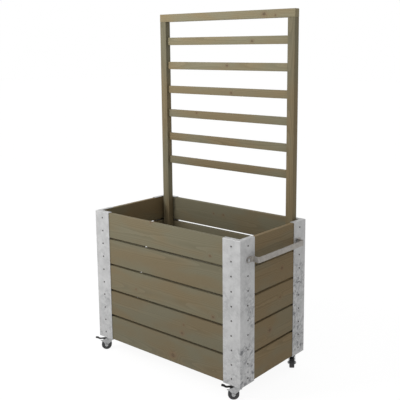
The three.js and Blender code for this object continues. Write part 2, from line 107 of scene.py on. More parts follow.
def noise_texture(tree, vector, scale, detail=2.0, roughness=0.5, distortion=0.0):
    inputs = {
        "Vector": vector,
        "Scale": scale,
        "Detail": detail,
        "Roughness": roughness,
        "Distortion": distortion,
    }
    return add_node(tree, "TexNoise", inputs).outputs


def object_position(tree):
    return add_node(tree, "TexCoord").outputs["Object"]


def attribute(tree, name):
    return add_node(tree, "Attribute", attribute_name=name).outputs["Vector"]


def split_vector(tree, vector):
    return add_node(tree, "SeparateXYZ", {"Vector": vector}).outputs


def split_colour(tree, colour):
    return add_node(tree, "SeparateColor", {"Color": colour}).outputs


def new_group(name, inputs, masks):
    """An empty shader node group, with its inputs as {name: kind} and its outputs by name."""
    group = bpy.data.node_groups.new(name, "ShaderNodeTree")
    for label, kind in inputs.items():
        group.interface.new_socket(name=label, in_out="INPUT", socket_type=f"NodeSocket{kind}")
    for label in masks:
        group.interface.new_socket(name=label, in_out="OUTPUT", socket_type="NodeSocketFloat")
    return group, group.nodes.new("NodeGroupInput").outputs, group.nodes.new("NodeGroupOutput").inputs


def use_group(tree, group, inputs):
    return add_node(tree, "Group", inputs, node_tree=group).outputs


def new_material(name):
    """A material with its tree and its Principled BSDF."""
    material = bpy.data.materials.new(name)
    material.use_nodes = True
    tree = material.node_tree
    return material, tree, tree.nodes["Principled BSDF"]


def set_shader(tree, shader, **inputs):
    for name, value in inputs.items():
        fill_socket(tree, shader.inputs[name.replace("_", " ")], value)


def add_bump(tree, shader, height, distance, strength):
    bump = add_node(tree, "Bump", {"Height": height, "Distance": distance, "Strength": strength})
    tree.links.new(bump.outputs["Normal"], shader.inputs["Normal"])


def srgb(red, green, blue):
    """A colour given as 0..255 display values, as Blender's linear colour."""

    def to_linear(value):
        value /= 255
        return value / 12.92 if value <= 0.04045 else ((value + 0.055) / 1.055) ** 2.4

    return to_linear(red), to_linear(green), to_linear(blue), 1.0


# ---------------------------------------------------------------- shared effects

RING_DENSITY = 75.0
KNOT_SHARE = 0.22  # of the places where a knot could be


def distance_on_board(tree, first, second):
    """Distance between two points of a board's face, with the depth left out."""
    apart = vector_calculate(tree, "SUBTRACT", first, second)
    flat = vector_calculate(tree, "MULTIPLY", apart, (0.8, 1.0, 0.0))
    return add_node(tree, "VectorMath", {0: flat}, operation="LENGTH").outputs["Value"]


def make_grain_group():
    """Softwood cut from a log: growth rings about the pith, fibres and knots.

    Positions have X along the grain, Y across the board and Z through it. The log offset leads
    from the board's middle to the pith. The board's own knot has its place in X and Y and its
    radius in Z.
    """
    group, given, out = new_group(
        "Softwood grain",
        {"Board Position": "Vector", "Log Offset": "Vector", "Own Knot": "Vector"},
        ("Rings", "Fibre", "Knots", "Knot Halo", "Patches"),
    )
    position = vector_calculate(group, "ADD", given["Board Position"], given["Log Offset"])
    knots = add_node(
        group, "TexVoronoi", {"Vector": position, "Scale": 6.0}, voronoi_dimensions="2D"
    )
    chance = split_colour(group, knots.outputs["Color"])
    is_knot = calculate(group, "LESS_THAN", chance["Red"], KNOT_SHARE)
    small = remap(group, chance["Green"], 0.0, 1.0, 0.02, 0.055)
    scattered_reach = calculate(group, "DIVIDE", knots.outputs["Distance"], small)
    far_off = multiply(group, calculate(group, "SUBTRACT", 1.0, is_knot), 50.0)
    scattered_reach = calculate(group, "ADD", scattered_reach, far_off)

    away = distance_on_board(group, given["Board Position"], given["Own Knot"])
    own_radius = calculate(group, "MAXIMUM", split_vector(group, given["Own Knot"])["Z"], 1e-5)
    reach = calculate(group, "MINIMUM", scattered_reach, calculate(group, "DIVIDE", away, own_radius))
    roughened = noise_texture(group, given["Board Position"], 260.0, 2.0)["Fac"]
    ragged = multiply(group, reach, remap(group, roughened, 0.2, 0.8, 0.75, 1.25))
    core = remap(group, ragged, 0.45, 1.1, 1.0, 0.0)
    rim = multiply(group, remap(group, ragged, 0.3, 0.8), core)
    heart = calculate(group, "ADD", multiply(group, core, 0.55), rim, clamp=True)
    halo = remap(group, ragged, 0.9, 3.2, 1.0, 0.0)
    pull = remap(group, reach, 0.5, 6.0, 1.0, 0.0)

    slow = vector_calculate(group, "MULTIPLY", position, (1.1, 2.5, 2.5))
    wander = noise_texture(group, slow, 1.0, 1.0)["Color"]
    centred = vector_calculate(group, "SUBTRACT", wander, (0.5, 0.5, 0.5))
    drift = vector_calculate(group, "MULTIPLY", centred, (0.0, 0.05, 0.05))
    wandering = vector_calculate(group, "ADD", position, drift)
    bend = add_node(group, "CombineXYZ", {"Z": multiply(group, pull, 0.012)})
    bent = vector_calculate(group, "ADD", wandering, bend.outputs[0])
    rings = add_node(
        group,
        "TexWave",
        {"Vector": bent, "Scale": RING_DENSITY, "Distortion": 1.2, "Detail Scale": 0.6},
        wave_type="RINGS",
        rings_direction="X",
        wave_profile="SAW",
    )
    stretched = vector_calculate(group, "MULTIPLY", bent, (9.0, 650.0, 650.0))
    fibre = noise_texture(group, stretched, 1.0, 3.0, 0.6)["Fac"]
    broad = vector_calculate(group, "MULTIPLY", position, (3.4, 10.0, 10.0))
    patches = noise_texture(group, broad, 1.0, 2.0, 0.5)["Fac"]
    for label, value in (
        ("Rings", rings.outputs["Fac"]),
        ("Fibre", fibre),
        ("Knots", heart),
        ("Knot Halo", halo),
        ("Patches", patches),
    ):
        group.links.new(value, out[label])
    return group


def make_mottle_group():
    """Cloudy patches with soft swirls, as zinc cools on steel."""
    group, given, out = new_group(
        "Mottle",
        {"Position": "Vector", "Scale": "Float", "Swirl": "Float"},
        ("Clouds", "Speckle"),
    )
    clouds = noise_texture(group, given["Position"], given["Scale"], 4.0, 0.6, given["Swirl"])["Fac"]
    finer = multiply(group, given["Scale"], 5.0)
    speckle = noise_texture(group, given["Position"], finer, 2.0, 0.5)["Fac"]
    group.links.new(remap(group, clouds, 0.32, 0.68), out["Clouds"])
    group.links.new(remap(group, speckle, 0.35, 0.65), out["Speckle"])
    return group


def make_scuff_group():
    """Fine scratches in two directions, broken up into short runs."""
    group, given, out = new_group("Scuffs", {"Position": "Vector", "Length": "Float"}, ["Scratches"])
    marks = []
    for angle in (0.5, 1.9):
        turning = {"Vector": given["Position"], "Angle": angle, "Axis": (0.3, 0.5, 0.8)}
        turned = add_node(group, "VectorRotate", turning).outputs[0]
        drawn_out = vector_calculate(group, "MULTIPLY", turned, (1.0, 34.0, 34.0))
        lines = noise_texture(group, drawn_out, given["Length"], 1.0)["Fac"]
        marks.append(remap(group, lines, 0.66, 0.72))
    group.links.new(calculate(group, "MAXIMUM", *marks), out["Scratches"])
    return group


def make_dust_group():
    """Dust and splashes that thin out with the height above the floor."""
    group, given, out = new_group(
        "Floor dust",
        {"Position": "Vector", "Reach": "Float", "Amount": "Float"},
        ["Dust"],
    )
    height = split_vector(group, given["Position"])["Z"]
    risen = calculate(group, "DIVIDE", height, given["Reach"])
    lowness = calculate(group, "SUBTRACT", 1.0, risen, clamp=True)
    clumps = noise_texture(group, given["Position"], 220.0, 3.0, 0.65)["Fac"]
    dust = multiply(group, lowness, remap(group, clumps, 0.35, 0.7))
    group.links.new(calculate(group, "MULTIPLY", dust, given["Amount"], clamp=True), out["Dust"])
    return group


GRAIN = make_grain_group()
MOTTLE = make_mottle_group()
SCUFFS = make_scuff_group()
DUST = make_dust_group()


def mottling(tree, scale, swirl=1.0):
    return use_group(tree, MOTTLE, {"Position": object_position(tree), "Scale": scale, "Swirl": swirl})


def scratches_of(tree, length):
    return use_group(tree, SCUFFS, {"Position": object_position(tree), "Length": length})["Scratches"]


def dust_up_to(tree, reach, amount):
    given = {"Position": object_position(tree), "Reach": reach, "Amount": amount}
    return use_group(tree, DUST, given)["Dust"]


# ---------------------------------------------------------------- materials


def make_timber():
    """Pine under a grey-brown stain. Each board carries its own place in the log and its own tone, whose
    lightness holds painted light and shade set by wall and by height.
    """
    material, tree, shader = new_material("Grey-brown stained pine")
    painted_light_and_tone, warmth, grain_depth = split_vector(tree, attribute(tree, "board_tone_and_painted_light"))
    places = {
        "Board Position": attribute(tree, "on_board"),
        "Log Offset": attribute(tree, "log_offset"),
        "Own Knot": attribute(tree, "own_knot"),
    }
    grain = use_group(tree, GRAIN, places)

    figure = multiply(tree, grain["Rings"], 0.5)
    figure = calculate(tree, "ADD", figure, multiply(tree, grain["Fibre"], 0.5))
    softened = {0: grain_depth, 2: 0.5, 3: figure}
    figure = add_node(tree, "Mix", softened, data_type="FLOAT").outputs[0]
    cool = mix_colours(tree, figure, srgb(104, 99, 77), srgb(132, 125, 102))
    warm = mix_colours(tree, figure, srgb(105, 89, 60), srgb(139, 120, 88))
    strayed = remap(tree, grain["Patches"], 0.34, 0.66, -0.35, 0.4)
    patched = calculate(tree, "ADD", warmth, strayed, clamp=True)
    stain = mix_colours(tree, patched, cool, warm)
    level = add_node(
        tree, "CombineColor", {"Red": painted_light_and_tone, "Green": painted_light_and_tone, "Blue": painted_light_and_tone}
    ).outputs[0]
    # This multiply paints light and shade: lighter or darker by wall and by height, with each board's random
    # tone.
    stain = mix_colours(tree, 1.0, stain, level, "MULTIPLY")
    blush = multiply(tree, grain["Knot Halo"], 0.35)
    stain = mix_colours(tree, blush, stain, srgb(122, 88, 62))
    stain = mix_colours(tree, multiply(tree, grain["Knots"], 0.62), stain, srgb(62, 46, 32))
    stain = mix_colours(tree, dust_up_to(tree, 0.16, 0.25), stain, srgb(138, 130, 112))

    relief = calculate(tree, "ADD", figure, multiply(tree, grain["Knots"], -0.5))
    roughness = remap(tree, grain["Fibre"], 0.3, 0.7, 0.66, 0.8)
    set_shader(tree, shader, Base_Color=stain, Roughness=roughness, Specular_IOR_Level=0.35)
    add_bump(tree, shader, relief, 0.3 * MM, 0.7)
    return material


STAIN_PLACE = (7.2, 5.2, 2.7)  # shifts where the stains fall


def make_galvanised(name, dark, light, staining):
    """Hot-dip galvanised steel: grey clouds, small crystals and darker curls low down, the stains weighted up
    on faces that point along X as painted shade.
    """
    material, tree, shader = new_material(name)
    position = object_position(tree)
    clouds = mottling(tree, 30.0, 0.5)
    elsewhere = vector_calculate(tree, "ADD", position, STAIN_PLACE)
    regions = noise_texture(tree, elsewhere, 5.5, 2.0, 0.5, 0.3)["Fac"]
    scratches = scratches_of(tree, 26.0)
    crystals = add_node(tree, "TexVoronoi", {"Vector": position, "Scale": 240.0})
    facet = split_colour(tree, crystals.outputs["Color"])["Red"]

    zinc = mix_colours(tree, clouds["Clouds"], dark, light)
    curls = noise_texture(tree, position, 24.0, 4.0, 0.65, 0.6)["Fac"]
    off_middle = calculate(tree, "ABSOLUTE", calculate(tree, "SUBTRACT", curls, 0.5))
    curl_lines = remap(tree, off_middle, 0.0, 0.06, 0.5, 0.0)
    blots = remap(tree, noise_texture(tree, position, 40.0, 4.0, 0.65, 0.3)["Fac"], 0.49, 0.66)
    marks = calculate(tree, "MAXIMUM", curl_lines, blots)
    low_down = remap(tree, split_vector(tree, position)["Z"], 0.42, 0.6, 1.0, 0.2)
    outward = add_node(tree, "NewGeometry").outputs["Normal"]
    facing_end = split_vector(tree, outward)["X"]
    # Painted shade: the stains count fully on faces that point along X, the end flanges, and half on faces
    # that point along Y.
    painted_shade_on_ends = remap(tree, calculate(tree, "ABSOLUTE", facing_end), 0.0, 1.0, 0.5, 1.0)
    patches = remap(tree, regions, 0.38, 0.58)
    for share in (low_down, painted_shade_on_ends, marks):
        patches = multiply(tree, patches, share)
    zinc = mix_colours(tree, multiply(tree, patches, staining), zinc, srgb(102, 103, 106))
    zinc = mix_colours(tree, multiply(tree, facet, 0.1), zinc, srgb(222, 222, 220))
    zinc = mix_colours(tree, multiply(tree, scratches, 0.2), zinc, srgb(222, 223, 223))
    roughness = remap(tree, clouds["Clouds"], 0.0, 1.0, 0.5, 0.62)
    metal = remap(tree, facet, 0.0, 1.0, 0.35, 0.5)
    set_shader(tree, shader, Base_Color=zinc, Roughness=roughness, Metallic=metal)
    relief = calculate(tree, "ADD", clouds["Clouds"], multiply(tree, clouds["Speckle"], 0.3))
    add_bump(tree, shader, relief, 0.12 * MM, 0.5)
    return material


def make_zinc_plate():
    """Bright zinc plating on the castors, dulled by handling."""
    material, tree, shader = new_material("Bright zinc plating")
    clouds = mottling(tree, 90.0, 0.3)["Clouds"]
    scratches = scratches_of(tree, 90.0)
    dust = dust_up_to(tree, 0.09, 0.5)
    colour = mix_colours(tree, clouds, srgb(156, 157, 158), srgb(182, 183, 183))
    colour = mix_colours(tree, multiply(tree, dust, 0.6), colour, srgb(126, 120, 110))
    dull = multiply(tree, dust, 0.3)
    roughness = calculate(tree, "ADD", remap(tree, clouds, 0, 1, 0.3, 0.42), dull)
    metal = remap(tree, dust, 0, 1, 0.9, 0.5)
    set_shader(tree, shader, Base_Color=colour, Roughness=roughness, Metallic=metal)
    add_bump(tree, shader, scratches, 0.02 * MM, -0.6)
    return material


def make_screw_steel():
    """Dark grey screws."""
    material, tree, shader = new_material("Dark grey screw steel")
    clouds = mottling(tree, 300.0)["Clouds"]
    colour = mix_colours(tree, clouds, srgb(70, 69, 68), srgb(104, 102, 99))
    set_shader(tree, shader, Base_Color=colour, Metallic=0.75, Roughness=remap(tree, clouds, 0, 1, 0.4, 0.55))
    return material


def make_black_nylon():
    """Moulded black nylon of the pedals, greyed where shoes rub."""
    material, tree, shader = new_material("Black moulded nylon")
    speckle = mottling(tree, 260.0)["Speckle"]
    dust = dust_up_to(tree, 0.1, 0.2)
    rubbed = multiply(tree, scratches_of(tree, 120.0), 0.35)
    colour = mix_colours(tree, rubbed, srgb(21, 21, 23), srgb(70, 70, 69))
    colour = mix_colours(tree, dust, colour, srgb(120, 114, 104))
    roughness = remap(tree, speckle, 0, 1, 0.42, 0.56)
    set_shader(tree, shader, Base_Color=colour, Roughness=roughness)
    add_bump(tree, shader, speckle, 0.04 * MM, 0.5)
    return material


def make_tyre_rubber():
    """Grey rubber, dusty and rubbed paler on the tread."""
    material, tree, shader = new_material("Grey tyre rubber")
    mottle = mottling(tree, 150.0)
    dust = dust_up_to(tree, 0.06, 0.45)
    colour = mix_colours(tree, mottle["Clouds"], srgb(47, 48, 51), srgb(60, 61, 64))
    colour = mix_colours(tree, dust, colour, srgb(112, 108, 100))
    set_shader(tree, shader, Base_Color=colour, Roughness=remap(tree, mottle["Clouds"], 0, 1, 0.6, 0.75))
    add_bump(tree, shader, mottle["Speckle"], 0.05 * MM, 0.6)
    return material


def make_hub_plastic():
    """Grey moulded wheel centres."""
    material, tree, shader = new_material("Grey hub plastic")
    mottle = mottling(tree, 130.0)
    dust = dust_up_to(tree, 0.07, 0.5)
    colour = mix_colours(tree, mottle["Clouds"], srgb(88, 89, 91), srgb(102, 103, 104))
    colour = mix_colours(tree, dust, colour, srgb(112, 107, 98))
    set_shader(tree, shader, Base_Color=colour, Roughness=remap(tree, mottle["Speckle"], 0, 1, 0.4, 0.5))
    add_bump(tree, shader, mottle["Speckle"], 0.03 * MM, 0.4)
    return material


SHEET_COLOURS = (srgb(178, 178, 178), srgb(195, 195, 195))
# Darker than the sheet's colours: painted shade on the handle bar.
BAR_COLOURS_WITH_PAINTED_SHADE = (srgb(148, 143, 137), srgb(173, 168, 161))

# A piece's look is its material slot and the material drawn on it.
TIMBER = ("stained_wood", make_timber())
GALVANISED = ("galvanised_steel", make_galvanised("Galvanised sheet steel", *SHEET_COLOURS, 1.0))
GALVANISED_BAR = ("galvanised_steel", make_galvanised("Galvanised flat bar", *BAR_COLOURS_WITH_PAINTED_SHADE, 0.5))
ZINC_PLATE = ("zinc_plate", make_zinc_plate())
HANDLE_BOLT_ZINC = ("galvanised_steel", ZINC_PLATE[1])
SCREW_STEEL = ("galvanised_steel", make_screw_steel())
BLACK_NYLON = ("black_plastic", make_black_nylon())
TYRE_RUBBER = ("grey_rubber", make_tyre_rubber())
HUB_PLASTIC = ("grey_rubber", make_hub_plastic())

# ---------------------------------------------------------------- mesh tools

SHARP_DEGREES = 35  # edges sharper than this stay sharp under smooth shading
SAME_PLACE = 1e-6  # lengths below this count as nothing (m)


def take_mesh(bm, name):
    """The bmesh's shape as a new mesh; the bmesh is freed."""
    mesh = bpy.data.meshes.new(name)
    bm.to_mesh(mesh)
    bm.free()
    return mesh


def add_object(name, data):
    thing = bpy.data.objects.new(name, data)
    bpy.context.scene.collection.objects.link(thing)
    return thing


def finish_piece(bm, name, body, look, stands_for=()):
    """Turns a bmesh into a piece that rides on a body, and frees it."""
    slot, material = look
    mesh = take_mesh(bm, name)
    mesh.materials.append(material)
    mesh.shade_smooth()
    mesh.set_sharp_from_angle(angle=math.radians(SHARP_DEGREES))
    piece = add_object(name, mesh)
    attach(piece, body)
    if stands_for:
        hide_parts(*stands_for)
    return piece


def point_outwards(bm):
    """Merges doubles and turns every face outwards."""
    bmesh.ops.remove_doubles(bm, verts=bm.verts, dist=SAME_PLACE)
    bmesh.ops.recalc_face_normals(bm, faces=bm.faces)


def ease_edges(piece, width, segments):
    """Rounds the piece's square edges with a bevel modifier."""
    rounding = piece.modifiers.new("eased_edges", "BEVEL")
    rounding.width = width
    rounding.segments = segments
    rounding.limit_method = "ANGLE"
    rounding.angle_limit = math.radians(50)


def move(bm, offset, verts=None):
    bmesh.ops.translate(bm, verts=verts or bm.verts, vec=Vector(offset))


def turn(bm, angle, axis):
    bmesh.ops.rotate(bm, verts=bm.verts, cent=Vector(), matrix=Matrix.Rotation(angle, 3, axis))


def round_off(bm, edges, radius, segments=2):
    bmesh.ops.bevel(
        bm,
        geom=list(edges),
        offset=radius,
        offset_type="OFFSET",
        affect="EDGES",
        segments=segments,
        profile=0.5,
        material=-1,
        clamp_overlap=True,
    )


def sharp_edges(bm, degrees=40):
    return [e for e in bm.edges if len(e.link_faces) == 2 and e.calc_face_angle() > math.radians(degrees)]


def runs_along(edge, axis):
    """Whether an edge has any length along one of the axes (0 to 2)."""
    return abs((edge.verts[1].co - edge.verts[0].co)[axis]) > SAME_PLACE


def block(low, high):
    """A box between two corners."""
    bm = bmesh.new()
    bmesh.ops.create_cube(bm, size=1)
    low, high = Vector(low), Vector(high)
    bmesh.ops.scale(bm, verts=bm.verts, vec=high - low)
    move(bm, (low + high) / 2)
    return bm


def add_to(bm, other):
    """Adds another bmesh's shape to bm, and frees the other."""
    mesh = take_mesh(other, "joined")
    bm.from_mesh(mesh)
    bpy.data.meshes.remove(mesh)
    return bm


def lathe(profile, steps):
    """A profile of (radius, height) pairs turned about Z; a closed ring if its ends are the same."""
    bm = bmesh.new()
    chain = [bm.verts.new((radius, 0, height)) for radius, height in profile]
    edges = [bm.edges.new(pair) for pair in zip(chain, chain[1:])]
    bmesh.ops.spin(
        bm, geom=chain + edges, cent=Vector(), axis=(0, 0, 1), angle=2 * math.pi, steps=steps, use_merge=True
    )
    point_outwards(bm)
    return bm


def sheet_through(rows):
    """A sheet through rows of points, extruded from the first row to the last."""
    bm = bmesh.new()
    chain = [bm.verts.new(co) for co in rows[0]]
    edges = [bm.edges.new(pair) for pair in zip(chain, chain[1:])]
    for row in rows[1:]:
        grown = bmesh.ops.extrude_edge_only(bm, edges=edges)["geom"]
        new_verts = [v for v in grown if isinstance(v, bmesh.types.BMVert)]
        chain = [next(e.other_vert(v) for e in v.link_edges if e.other_vert(v) in new_verts) for v in chain]
        for vert, co in zip(chain, row):
            vert.co = co
        new_edges = [e for e in grown if isinstance(e, bmesh.types.BMEdge)]
        edges = [e for e in new_edges if all(v in new_verts for v in e.verts)]
    bmesh.ops.recalc_face_normals(bm, faces=bm.faces)
    return bm


def thicken(bm, thickness):
    bmesh.ops.solidify(bm, geom=bm.faces[:], thickness=thickness)
    point_outwards(bm)
    return bm


def both_halves(upper):
    """A whole profile for the lathe from its upper half, mirrored in Z = 0."""
    return [(radius, -height) for radius, height in upper][::-1] + upper


def disc(radius, bottom, top, steps):
    return lathe([(0, bottom), (radius, bottom), (radius, top), (0, top)], steps)


def plate(outline, thickness, edge_radius):
    """A flat outline of (x, z) pairs in the XZ plane, thick along Y about Y = 0, edges rounded."""
    bm = bmesh.new()
    face = bm.faces.new([bm.verts.new((x, -thickness / 2, z)) for x, z in outline])
    grown = bmesh.ops.extrude_face_region(bm, geom=[face], use_keep_orig=True)["geom"]
    move(bm, (0, thickness, 0), [v for v in grown if isinstance(v, bmesh.types.BMVert)])
    point_outwards(bm)
    rim = [e for e in bm.edges if any(len(f.verts) == len(outline) for f in e.link_faces)]
    round_off(bm, rim, edge_radius)
    return bm


def arc(centre, radius, start_degrees, end_degrees, steps):
    """Points on an arc of the XZ plane."""
    points = []
    for i in range(steps + 1):
        angle = math.radians(start_degrees + (end_degrees - start_degrees) * i / steps)
        points.append((centre[0] + radius * math.cos(angle), centre[1] + radius * math.sin(angle)))
    return points


# ---------------------------------------------------------------- timber

EASED_EDGE = 2 * MM
END_EDGE = 0.8 * MM
CUT_SPACING = 60 * MM  # between the cross cuts that let a board's edges waver
EDGE_WAVER = 0.35 * MM

# Painted light and shade: the lightness at the bottom and at the top of each wall, for how the light falls on
# it, and how warm its colour is.
WALL_PAINTED_LIGHT_AND_WARMTH = {
    "front": (0.8, 1.0, 0.2),
    "back": (0.86, 0.88, 0.15),
    "left": (1.03, 1.03, 0.7),
    "right": (0.98, 0.98, 0.8),
    "floor": (0.95, 0.95, 0.4),
    "trellis": (1.03, 1.52, 0.35),
}
TONE_SPREAD = 0.03
WARMTH_SPREAD = 0.12

# The heights that "bottom" and "top" mean there, on the walls and on the trellis (m).
WALL_SPAN = (0.137, 0.657)
TRELLIS_SPAN = (0.9, 1.65)

# The knots that show most: place along the wall or trellis from its middle, height and radius (mm).
KNOTS = {
    "front_board_5": (285, 626, 4),
    "front_board_4": (-312, 387, 5),
    "front_board_3": (299, 356, 5),
    "front_board_2": (115, 234, 6),
    "front_board_1": (56, 112, 9),
    "right_board_4": (58, 529, 6),
    "right_board_3": (45, 397, 4),
    "right_board_2": (-32, 267, 7),
    "back_board_5": (-26, 670, 4),
    "trellis_slat_1": (169, 1531, 5),
    "trellis_slat_2": (18, 1417, 5),
    "trellis_slat_3": (43, 1287, 4),
    "trellis_slat_4": (-181, 1178, 4),
    "trellis_top_rail": (246, 1650, 7),
}


def waver_edges(bm, low, high, along, seed):
    """Moves the eased edges in by a fraction of a millimetre, as planing and handling leave them."""
    middle = (low + high) / 2
    for vert in bm.verts:
        inward = middle - vert.co
        inward[along] = 0
        wave = 0.5 + 0.5 * noise.noise(vert.co * 14 + Vector((seed, 0, 0)))
        vert.co += inward.normalized() * EDGE_WAVER * wave


def plank(node, seed):
    """One planed timber in the place of a CAD node, with its grain along its longest side."""
    low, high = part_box(node)
    size = high - low
    along, across, through = sorted(range(3), key=lambda axis: -size[axis])
    bm = block(low, high)
    round_off(bm, [e for e in bm.edges if runs_along(e, along)], EASED_EDGE, 4)
    round_off(bm, [e for e in sharp_edges(bm, 60) if not runs_along(e, along)], END_EDGE, 1)
    axis = Vector([1.0 if i == along else 0.0 for i in range(3)])
    cuts = max(2, round(size[along] / CUT_SPACING))
    for i in range(1, cuts):
        at = low + axis * (size[along] * i / cuts)
        everything = bm.verts[:] + bm.edges[:] + bm.faces[:]
        bmesh.ops.bisect_plane(bm, geom=everything, plane_co=at, plane_no=axis)
    waver_edges(bm, low, high, along, seed)
    piece = finish_piece(bm, f"{node}_timber", BOX_BODY, TIMBER, [node])
    mark_grain(piece, node, (along, across, through), (low + high) / 2, seed)


def store(mesh, name, value_at):
    """A vector for each vertex of the mesh, worked out from its place."""
    layer = mesh.attributes.new(name, "FLOAT_VECTOR", "POINT")
    for i, vert in enumerate(mesh.vertices):
        layer.data[i].vector = value_at(vert.co)


def knot_on_board(node, axes, middle):
    """The board's own knot: its place along and across the board, and its radius."""
    if node not in KNOTS:
        return Vector()
    level, height, radius = (value * MM for value in KNOTS[node])
    place = Vector((level, level, height)) - middle
    return Vector((place[axes[0]], place[axes[1]], radius))


def mark_grain(piece, node, axes, middle, seed):
    """Stores where each point lies on the board, where the board lay in the log, and its tone, which holds
    painted light and shade by wall and height.
    """
    draw = random.Random(seed)
    bottom, top, warmth = WALL_PAINTED_LIGHT_AND_WARMTH[node.split("_")[0]]
    lowest, highest = TRELLIS_SPAN if node.startswith("trellis") else WALL_SPAN
    share = min(max((middle.z - lowest) / (highest - lowest), 0), 1)
    # Painted light and shade: the lightness runs from the wall's bottom value to its top value with the
    # board's height, plus a random spread of its own tone.
    painted_light_and_tone = bottom + (top - bottom) * share + draw.uniform(-TONE_SPREAD, TONE_SPREAD)
    tone_and_painted_light = Vector((painted_light_and_tone, warmth + draw.uniform(-WARMTH_SPREAD, WARMTH_SPREAD), draw.uniform(0.7, 1.0)))
    from_pith = draw.choice((-1, 1)) * draw.uniform(0.03, 0.06)
    in_log = Vector((draw.uniform(-40, 40), draw.uniform(-0.04, 0.04), from_pith))
    knot = knot_on_board(node, axes, middle)
    mesh = piece.data
    store(mesh, "on_board", lambda co: Vector([(co - middle)[axis] for axis in axes]))
    store(mesh, "log_offset", lambda co: in_log)
    store(mesh, "board_tone_and_painted_light", lambda co: tone_and_painted_light)
    store(mesh, "own_knot", lambda co: knot)


def add_timber():
    """Every board, bearer, post, rail and slat of the model."""
    wood = [s["node"] for s in frame["record"]["subparts"] if s["material_slot"] == TIMBER[0]]
    for seed, node in enumerate(wood):
        plank(node, seed)


# ---------------------------------------------------------------- steel corners

SHEET = 2 * MM
FOLD_RADIUS = 3 * MM
RETURN_WIDTH = 22.3 * MM
BASE_PLATE_THICKNESS = 2.5 * MM
BASE_PLATE_CHAMFER = 40 * MM
FOLD_STEPS = 5
SHEET_EDGE = 0.3 * MM


def corner_row(offset, width, height):
    """The angle's outline at one height, moved in by offset, from one flange's end to the other's."""
    radius = max(FOLD_RADIUS - offset, 0.0)
    centre = max(FOLD_RADIUS, offset)
    row = [Vector((width, offset, height))]
    for i in range(FOLD_STEPS + 1):
        angle = 1.5 * math.pi - 0.5 * math.pi * i / FOLD_STEPS
        row.append(Vector((centre + radius * math.cos(angle), centre + radius * math.sin(angle), height)))
    row.append(Vector((offset, width, height)))
    return row


def corner_sheet(width, bottom, top):
    """Both flanges and the return folded in over the board tops, outer corner at 0, 0."""
    rows = [corner_row(0, width, bottom)]
    for i in range(FOLD_STEPS + 1):
        angle = 0.5 * math.pi * i / FOLD_STEPS
        offset = FOLD_RADIUS * (1 - math.cos(angle))
        rows.append(corner_row(offset, width, top - FOLD_RADIUS + FOLD_RADIUS * math.sin(angle)))
    rows.append(corner_row(RETURN_WIDTH, width, top))

    bm = sheet_through(rows)
    middle = Vector((width, width, (bottom + top) / 2))
    face = max(bm.faces, key=lambda f: f.calc_area())
    if face.normal.dot(middle - face.calc_center_median()) > 0:
        bmesh.ops.reverse_faces(bm, faces=bm.faces)
    return thicken(bm, SHEET)


def base_plate(width, bottom):
    """The plate under the corner that the castor is bolted to."""
    cut = width - BASE_PLATE_CHAMFER
    outline = [(width, 0), (width, cut), (cut, width), (0, width)]
    outline += [(p.x, p.y) for p in corner_row(0, width, 0)[1:-1]][::-1]
    bm = plate(outline, BASE_PLATE_THICKNESS, SHEET_EDGE)
    turn(bm, -math.pi / 2, "X")
    move(bm, (0, 0, bottom + BASE_PLATE_THICKNESS / 2))
    return bm


def flange_screw():
    """A pan head with a six-lobed recess, its seat at Z = 0."""
    head, height, recess, recess_floor = 3.9 * MM, 1.9 * MM, 1.75 * MM, 0.5 * MM
    steps = 12  # two for each lobe
    waist = 0.72  # of the recess between two lobes, as a share of its radius
    profile = [
        (0, recess_floor),
        (recess, recess_floor),
        (recess, height),
        (recess * 1.25, height),
        (head * 0.82, height * 0.8),
        (head, height * 0.3),
        (head, 0),
        (0, 0),
    ]
    bm = lathe(profile, steps)
    for vert in bm.verts:
        radius = math.hypot(vert.co.x, vert.co.y)
        step = round(math.degrees(math.atan2(vert.co.y, vert.co.x)) / (360 / steps))
        if abs(radius - recess) < 1e-5 and step % 2:
            vert.co.x *= waist
            vert.co.y *= waist
    return bm


SCREWS_PER_FLANGE = 10
SCREW_PITCH = 65 * MM
FIRST_SCREW = 27.5 * MM  # above the lowest board's bottom
SCREW_FROM_EDGE = 50 * MM
HANDLE_SCREW = 8  # the handle's bolt takes this screw's place, counted from 0 at the bottom
FIRST_SCREW_SEED = 100


def screw_heights():
    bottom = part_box("front_board_1")[0].z + FIRST_SCREW
    return [bottom + i * SCREW_PITCH for i in range(SCREWS_PER_FLANGE)]


def screw_column(heights, seed):
    """Screws up one flange, on the face y = 0 of the corner and pointing to -Y."""
    draw = random.Random(seed)
    column = bmesh.new()
    for height in heights:
        screw = flange_screw()
        turn(screw, draw.uniform(0, math.pi), "Z")
        turn(screw, math.pi / 2, "X")
        move(screw, (SCREW_FROM_EDGE + draw.uniform(-1, 1) * MM, 0, height + draw.uniform(-1, 1) * MM))
        add_to(column, screw)
    return column


